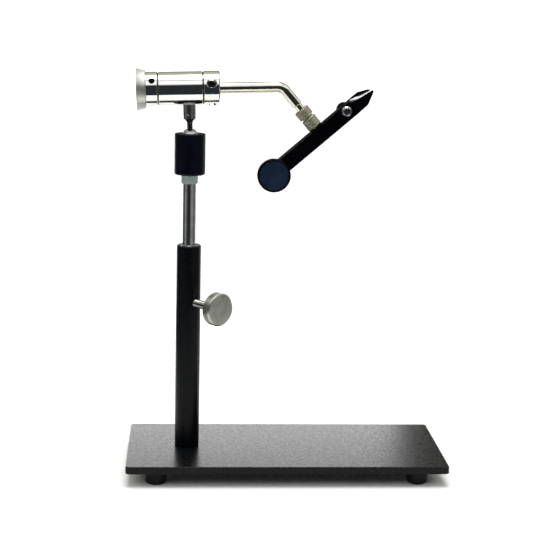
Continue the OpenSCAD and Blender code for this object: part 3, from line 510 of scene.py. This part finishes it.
# collet: knurled nut and body
colletNut = {"radius": 5.95, "start": 22.0, "end": 29.2, "bore": 3.2, "room": 4.35, "roomStart": 23.5,
             "faceRadius": 4.6, "shoulder": 5.75, "shoulderEnd": 22.35, "rimStart": 22.6, "rimEnd": 28.8,
             "endRadius": 5.6, "rows": 12, "firstRow": 0.3, "knurlInset": 0.2, "teeth": 44, "toothDepth": 0.24}
steps = colletNut["teeth"] * 2
bm = spinProfile([
    (colletNut["bore"], colletNut["start"]), (colletNut["faceRadius"], colletNut["start"], 0.2),
    (colletNut["shoulder"], colletNut["shoulderEnd"], 0.15), (colletNut["radius"], colletNut["rimStart"])]
    + rimRows(colletNut["radius"], colletNut["rimStart"] + colletNut["firstRow"], colletNut["rows"]) + [
    (colletNut["radius"], colletNut["rimEnd"]), (colletNut["endRadius"], colletNut["end"], 0.1),
    (colletNut["room"], colletNut["end"]), (colletNut["room"], colletNut["roomStart"]),
    (colletNut["bore"], colletNut["roomStart"])], steps, closed=True)
knurlRim(bm, colletNut["radius"], colletNut["rimStart"] + colletNut["knurlInset"],
         colletNut["rimEnd"] - colletNut["knurlInset"], colletNut["toothDepth"], steps, True)
finishPiece(bm, "colletNut", legPlace, "collet_nut", colletNickel, "collet_nut")

colletBody = {"radius": 5.75, "bore": 3.15, "boreEnd": 38.0, "neck": 4.3, "start": 25.0, "shoulder": 30.6,
              "shoulderRadius": 5.4, "rimStart": 31.0, "rimEnd": 38.3, "endRadius": 5.3, "end": 39.2,
              "pin": 2.4, "pinEnd": 47.2, "rows": 14, "firstRow": 0.4, "knurlInset": 0.2, "teeth": 44,
              "toothDepth": 0.24}
steps = colletBody["teeth"] * 2
bm = spinProfile([
    (colletBody["bore"], colletBody["start"]), (colletBody["neck"], colletBody["start"], 0.2),
    (colletBody["neck"], colletBody["shoulder"]),
    (colletBody["shoulderRadius"], colletBody["shoulder"], 0.1), (colletBody["radius"], colletBody["rimStart"])]
    + rimRows(colletBody["radius"], colletBody["rimStart"] + colletBody["firstRow"], colletBody["rows"]) + [
    (colletBody["radius"], colletBody["rimEnd"]), (colletBody["endRadius"], colletBody["end"], 0.2),
    (colletBody["pin"], colletBody["end"]), (colletBody["pin"], colletBody["pinEnd"], 0.3),
    (0, colletBody["pinEnd"]), (0, colletBody["boreEnd"]),
    (colletBody["bore"], colletBody["boreEnd"])], steps)
knurlRim(bm, colletBody["radius"], colletBody["rimStart"] + colletBody["knurlInset"],
         colletBody["rimEnd"] - colletBody["knurlInset"], colletBody["toothDepth"], steps, True)
finishPiece(bm, "colletBody", legPlace, "jaws", colletNickel, "collet_body")
print("arm made")

# jaws: the nose bevel of the near jaw carries a painted highlight, black fading to white across a slanted line,
# so that its white flash starts as a point at the top edge
jaw = {"edgeMm": 0.05, "bevelFall": 16.2, "bevelRoll": 22, "bevelStart": 31.2, "bevelMatch": 0.93,
       "topEdge": 5.75, "slant": 2.0, "highlightFadeMm": 2.5, "highlightFadeFrom": "#0b0b0c", "highlightFadeTo": "#f0f0f0"}
slantWay = barPlace.to_3x3() @ Vector((1, 0, jaw["slant"]))
slantStart = slantWay.dot(barPlace.translation) + jaw["bevelStart"] + jaw["slant"] * jaw["topEdge"]
bevelTree = bevelSteelPaintedHighlight.node_tree
bevelPlace = addNode(bevelTree, "ShaderNodeTexCoord")
bevelWay = addNode(bevelTree, "ShaderNodeVectorMath", settings={"operation": "DOT_PRODUCT"},
                   values={1: slantWay}, links={0: bevelPlace.outputs["Object"]})
# painted highlight: the bevel's colour fades from black to white over a few millimetres past the slanted line
paintedHighlightFade = spread(bevelTree, bevelWay.outputs["Value"], 0.0, 1.0, slantStart / 1000,
                   (slantStart + jaw["highlightFadeMm"]) / 1000)
tintBetween(bevelTree, bevelTree.nodes["Principled BSDF"], paintedHighlightFade, jaw["highlightFadeFrom"], jaw["highlightFadeTo"])
ground = (turn(jaw["bevelFall"], "Y") @ turn(jaw["bevelRoll"], "X")).to_3x3() @ Vector((0, 0, 1))


def makeJaw(node, name, body, bevelled):
    bm = copyNode(node, jaw["edgeMm"], 2, 18)
    bmesh.ops.transform(bm, matrix=barPlace.inverted(), verts=bm.verts)
    bm.normal_update()
    for face in bm.faces:
        onNose = face.calc_center_median().x > jaw["bevelStart"]
        if bevelled and onNose and face.normal.dot(ground) > jaw["bevelMatch"]:
            face.material_index = 1
    finishPiece(bm, name, barPlace, body, [jawBlack, bevelSteelPaintedHighlight], node)


makeJaw("far_jaw", "farJaw", "jaws", False)
makeJaw("near_jaw", "nearJaw", "near_jaw", True)

headScrew = {"edgeMm": 0.12}
bm = copyNode("adjusting_screw", headScrew["edgeMm"], 2, 24)
finishPiece(bm, "adjustingScrew", Matrix(), "jaws", screwSteel, "adjusting_screw")

farNut = {"radius": 5.75, "near": -7.45, "far": -14.45, "bore": 2.55, "nearRadius": 5.2, "nearEdge": 0.35,
          "farRadius": 4.9, "farEdge": 0.55, "steps": 112, "along": 25.6, "rise": 1.2}
bm = spinProfile([
    (farNut["bore"], farNut["far"]), (farNut["farRadius"], farNut["far"], 0.3),
    (farNut["radius"], farNut["far"] + farNut["farEdge"], 0.2),
    (farNut["radius"], farNut["near"] - farNut["nearEdge"], 0.2),
    (farNut["nearRadius"], farNut["near"], 0.1), (farNut["bore"], farNut["near"])],
    farNut["steps"], closed=True)
finishPiece(bm, "adjustingNut", across(farNut["along"], farNut["rise"]), "adjusting_nut", jawBlack,
            "adjusting_nut")

closingKnob = {"radius": 12.7, "near": 7.25, "far": 13.25, "bore": 3.05, "boreEnd": 11.6, "hub": 6.0,
               "hubStart": 6.65, "hubEnd": 7.0, "hubEdge": 0.4, "edgeRadius": 11.9, "nearEdge": 0.75,
               "farEdge": 0.85, "lip": 11.3, "dish": 11.1, "dishFloor": 13.05, "dishMiddle": 13.15,
               "faceRadius": 11.0, "teeth": 80, "toothDepth": 0.25, "along": -47.3}
steps = closingKnob["teeth"] * 4
bm = spinProfile([
    (closingKnob["bore"], closingKnob["hubStart"]),
    (closingKnob["hub"] - closingKnob["hubEdge"], closingKnob["hubStart"], 0.2),
    (closingKnob["hub"], closingKnob["hubEnd"], 0.1),
    (closingKnob["hub"], closingKnob["near"]), (closingKnob["edgeRadius"], closingKnob["near"], 0.3),
    (closingKnob["radius"], closingKnob["near"] + closingKnob["nearEdge"], 0.25),
    (closingKnob["radius"], closingKnob["far"] - closingKnob["farEdge"], 0.3),
    (closingKnob["edgeRadius"], closingKnob["far"], 0.25), (closingKnob["lip"], closingKnob["far"], 0.1),
    (closingKnob["dish"], closingKnob["dishFloor"], 0.15), (0, closingKnob["dishMiddle"]),
    (0, closingKnob["boreEnd"]), (closingKnob["bore"], closingKnob["boreEnd"])], steps)
knurlRim(bm, closingKnob["radius"], closingKnob["near"] + closingKnob["nearEdge"],
         closingKnob["far"] - closingKnob["farEdge"], closingKnob["toothDepth"], steps, False)
for face in bm.faces:
    if localRadius(face.calc_center_median()) > closingKnob["faceRadius"]:
        face.material_index = 1
finishPiece(bm, "closingKnobDisc", across(closingKnob["along"]), "closing_knob", [slateBlue, jawBlack],
            "closing_knob")

springWire = {"coilRadius": 1.7, "wire": 0.3, "reach": 2.7, "turns": 4, "stepsPerTurn": 32, "along": 33.6}
steps = springWire["turns"] * springWire["stepsPerTurn"]
bm = bmesh.new()
bmesh.ops.create_circle(bm, cap_ends=True, radius=springWire["wire"], segments=12,
                        matrix=shift(springWire["coilRadius"], 0, -springWire["reach"]) @ turn(90, "X"))
bmesh.ops.spin(bm, geom=bm.faces[:], cent=(0, 0, 0), axis=(0, 0, 1),
               dvec=(0, 0, 2 * springWire["reach"] / steps), angle=2 * math.pi * springWire["turns"],
               steps=steps, use_merge=False, use_duplicate=False)
bmesh.ops.recalc_face_normals(bm, faces=bm.faces)
finishPiece(bm, "jawSpring", across(springWire["along"]), "jaws", fastenerSteel, "jaw_spring")
print("jaws made")

# CAD nodes that stay, with their finishes
finishes = {
    "foot_screws": fastenerSteel, "post_bolt": blackScrew, "clamp_bush": bushSteel, "ball_seat": bronze,
    "head_post_screw": fastenerSteel, "rear_bearing": bronze, "front_bearing": bronze,
    "rotary_shaft": stemSteel, "knob_screw": blackScrew, "rear_ring_screw": blackScrew,
    "rear_washer": washerBlack, "front_washer": washerBlack, "front_ring_screws": blackScrew,
    "collet_ferrule": bronze, "guide_pin": fastenerSteel, "fulcrum_ring": fastenerSteel,
    "adjusting_washer": fastenerSteel, "closing_screw": fastenerSteel,
}
for node, material in finishes.items():
    for materialSlot in cadNodes[node].material_slots:
        materialSlot.material = material
print("CAD nodes finished:", len(finishes))

# floor, in metres like all that follows
floor = {"left": -0.35, "right": 0.36, "front": -0.384, "back": 1.9, "color": "#f6f6f5", "roughness": 0.9}
bm = bmesh.new()
bmesh.ops.create_grid(bm, x_segments=1, y_segments=1, size=0.5)
bmesh.ops.scale(bm, vec=(floor["right"] - floor["left"], floor["back"] - floor["front"], 1), verts=bm.verts)
bmesh.ops.translate(bm, vec=((floor["right"] + floor["left"]) / 2, (floor["back"] + floor["front"]) / 2, 0),
                    verts=bm.verts)
floorMesh = bpy.data.meshes.new("paleFloor")
bm.to_mesh(floorMesh)
bm.free()
floorPiece = bpy.data.objects.new("paleFloor", floorMesh)
bpy.context.collection.objects.link(floorPiece)
floorPiece.data.materials.append(startMaterial("whiteSweep", floor["color"], floor["roughness"])[0])

# the studio round the vise, as brightness or share by degrees
# round counts from the camera's side, to the right; height counts up from the horizon
wallRound = [(-180, 1.0), (-125, 1.0), (-110, 0.0), (110, 0.0), (125, 1.0), (180, 1.0)]
studio = {
    # a band level with the camera: the front is dark, the sides are dim, the back is white
    "band": {
        "stops": [(-180, 1.0), (-168, 1.0), (-160, 0.03), (-118, 0.03), (-100, 0.09), (-84, 0.17),
                  (-68, 0.28), (-56, 0.2), (-44, 0.09), (-28, 0.035), (-10, 0.015), (6, 0.025), (16, 0.09),
                  (32, 0.22), (50, 0.28), (64, 0.22), (76, 0.14), (94, 0.1), (118, 0.3), (135, 1.0), (180, 1.0)],
        "height": [(-90, 1.0), (26, 1.0), (36, 0.0), (90, 0.0)]},
    # the white tent above it, with one thin dark seam and the lamp at its top
    "tent": [(-90, 1.0), (57.5, 1.0), (59, 0.3), (61.5, 0.3), (63, 1.0), (73, 1.0), (79, 8.5), (90, 8.5)],
    # behind the vise, a grey wall above the white sweep
    "wall": {
        "color": "#b3b5a5", "round": wallRound,
        "height": [(-90, 0.0), (2, 0.0), (4, 1.0), (66, 1.0), (76, 0.0), (90, 0.0)]},
    # low on that wall it is darker, behind the right end of the plate most of all
    "low": {
        "stops": [(-180, 0.12), (-150, 0.12), (-135, 0.5), (135, 0.5), (150, 0.12), (168, 0.07), (173, 0.12),
                  (180, 0.12)],
        "round": wallRound,
        "height": [(-90, 0.0), (3, 0.0), (5, 1.0), (20, 1.0), (27, 0.0), (90, 0.0)]},
    # a white card high on the wall, that the ground bevel of the near jaw mirrors
    "card": {
        "color": "#ffffff",
        "round": [(-180, 0.0), (-174, 0.0), (-170, 1.0), (-152, 1.0), (-148, 0.0), (180, 0.0)],
        "height": [(-90, 0.0), (38, 0.0), (42, 1.0), (56, 1.0), (60, 0.0), (90, 0.0)]},
    # a dark flag in front, high on the right, that the leg of the arm mirrors
    "flag": {
        "color": "#2b2c28",
        "round": [(-180, 0.0), (3, 0.0), (8, 1.0), (62, 1.0), (74, 0.0), (180, 0.0)],
        "height": [(-90, 0.0), (-3, 0.0), (1, 1.0), (30, 1.0), (35, 0.0), (90, 0.0)]},
    # the room straight ahead of the vise is slate, most of all below its middle
    "room": {
        "color": "#23292f",
        "round": [(-180, 0.0), (-16, 0.0), (-10, 1.0), (7, 1.0), (13, 0.0), (180, 0.0)],
        "height": [(-90, 0.0), (-38, 0.0), (-30, 0.7), (-20, 1.0), (-8, 1.0), (6, 0.4), (20, 0.3), (28, 0.0),
                   (90, 0.0)]},
    "backdrop": "#ffffff",
    "strength": 1.25,
}

world = bpy.data.worlds.new("lightTent")
world.use_nodes = True
bpy.context.scene.world = world
tree = world.node_tree
background = tree.nodes["Background"]
ray = addNode(tree, "ShaderNodeTexCoord")
parts = addNode(tree, "ShaderNodeSeparateXYZ", links={"Vector": ray.outputs["Generated"]})
away = addNode(tree, "ShaderNodeMath", settings={"operation": "MULTIPLY"}, values={1: -1.0},
               links={0: parts.outputs["Y"]})
around = addNode(tree, "ShaderNodeMath", settings={"operation": "ARCTAN2"},
                 links={0: parts.outputs["X"], 1: away.outputs["Value"]})
aroundShare = addNode(tree, "ShaderNodeMapRange", values={"From Min": -math.pi, "From Max": math.pi},
                      links={"Value": around.outputs["Value"]})
height = addNode(tree, "ShaderNodeMath", settings={"operation": "ARCSINE"}, links={0: parts.outputs["Z"]})
heightShare = addNode(tree, "ShaderNodeMapRange", values={"From Min": -math.pi / 2, "From Max": math.pi / 2},
                      links={"Value": height.outputs["Value"]})


def addRamp(source, stops, span):
    ramp = addNode(tree, "ShaderNodeValToRGB", links={"Fac": source.outputs["Result"]})
    while len(ramp.color_ramp.elements) > 1:
        ramp.color_ramp.elements.remove(ramp.color_ramp.elements[-1])
    for i, (where, value) in enumerate(stops):
        spot = (where + span) / (2 * span)
        element = ramp.color_ramp.elements[0] if i == 0 else ramp.color_ramp.elements.new(spot)
        element.position = spot
        element.color = (value, value, value, 1)
    return ramp.outputs["Color"]


def byRound(stops):
    return addRamp(aroundShare, stops, 180)


def byHeight(stops):
    return addRamp(heightShare, stops, 90)


def blendIn(share, under, over):
    mix = addNode(tree, "ShaderNodeMix", settings={"data_type": "RGBA"}, links={0: share, 6: under})
    if isinstance(over, tuple):
        mix.inputs[7].default_value = over
    else:
        tree.links.new(over, mix.inputs[7])
    return mix.outputs[2]


light = blendIn(byHeight(studio["band"]["height"]), byHeight(studio["tent"]),
                byRound(studio["band"]["stops"]))
for name in ("wall", "low", "card", "flag", "room"):
    panel = studio[name]
    share = addNode(tree, "ShaderNodeMath", settings={"operation": "MULTIPLY"},
                    links={0: byRound(panel["round"]), 1: byHeight(panel["height"])})
    over = byRound(panel["stops"]) if "stops" in panel else shade(panel["color"])
    light = blendIn(share.outputs["Value"], light, over)
# seen straight on, the studio is one plain white backdrop
look = addNode(tree, "ShaderNodeLightPath")
light = blendIn(look.outputs["Is Camera Ray"], light, shade(studio["backdrop"]))
tree.links.new(light, background.inputs["Color"])
background.inputs["Strength"].default_value = studio["strength"]

# a soft box low behind the vise, that the top of the plate mirrors up to its right end
softBox = {"width": 0.63, "height": 0.24, "x": -0.135, "y": 0.5, "watts": 1.9}
softBoxData = bpy.data.lights.new("plateSoftBox", "AREA")
softBoxData.shape = "RECTANGLE"
softBoxData.size = softBox["width"]
softBoxData.size_y = softBox["height"]
softBoxData.energy = softBox["watts"]
softBoxPiece = bpy.data.objects.new("plateSoftBox", softBoxData)
softBoxPiece.visible_camera = False
softBoxPiece.visible_diffuse = False
bpy.context.collection.objects.link(softBoxPiece)
softBoxPiece.matrix_world = shift(softBox["x"], softBox["y"], softBox["height"] / 2) @ turn(-90, "X")

camera = {"x": -0.08158, "y": -0.97113, "z": 0.35713, "yaw": 0.0769, "pitch": 0.2086, "roll": 0.0266,
          "lens": 82.29, "sensor": 36, "nearest": 0.01}
cameraData = bpy.data.cameras.new("studioCamera")
cameraData.lens = camera["lens"]
cameraData.sensor_width = camera["sensor"]
cameraData.clip_start = camera["nearest"]
cameraPiece = bpy.data.objects.new("studioCamera", cameraData)
bpy.context.collection.objects.link(cameraPiece)
cameraPiece.matrix_world = (shift(camera["x"], camera["y"], camera["z"])
                            @ Matrix.Rotation(-camera["yaw"], 4, "Z")
                            @ Matrix.Rotation(math.pi / 2 - camera["pitch"], 4, "X")
                            @ Matrix.Rotation(camera["roll"], 4, "Z"))
bpy.context.scene.camera = cameraPiece
bpy.context.scene.view_settings.view_transform = "Standard"
print("stage set")
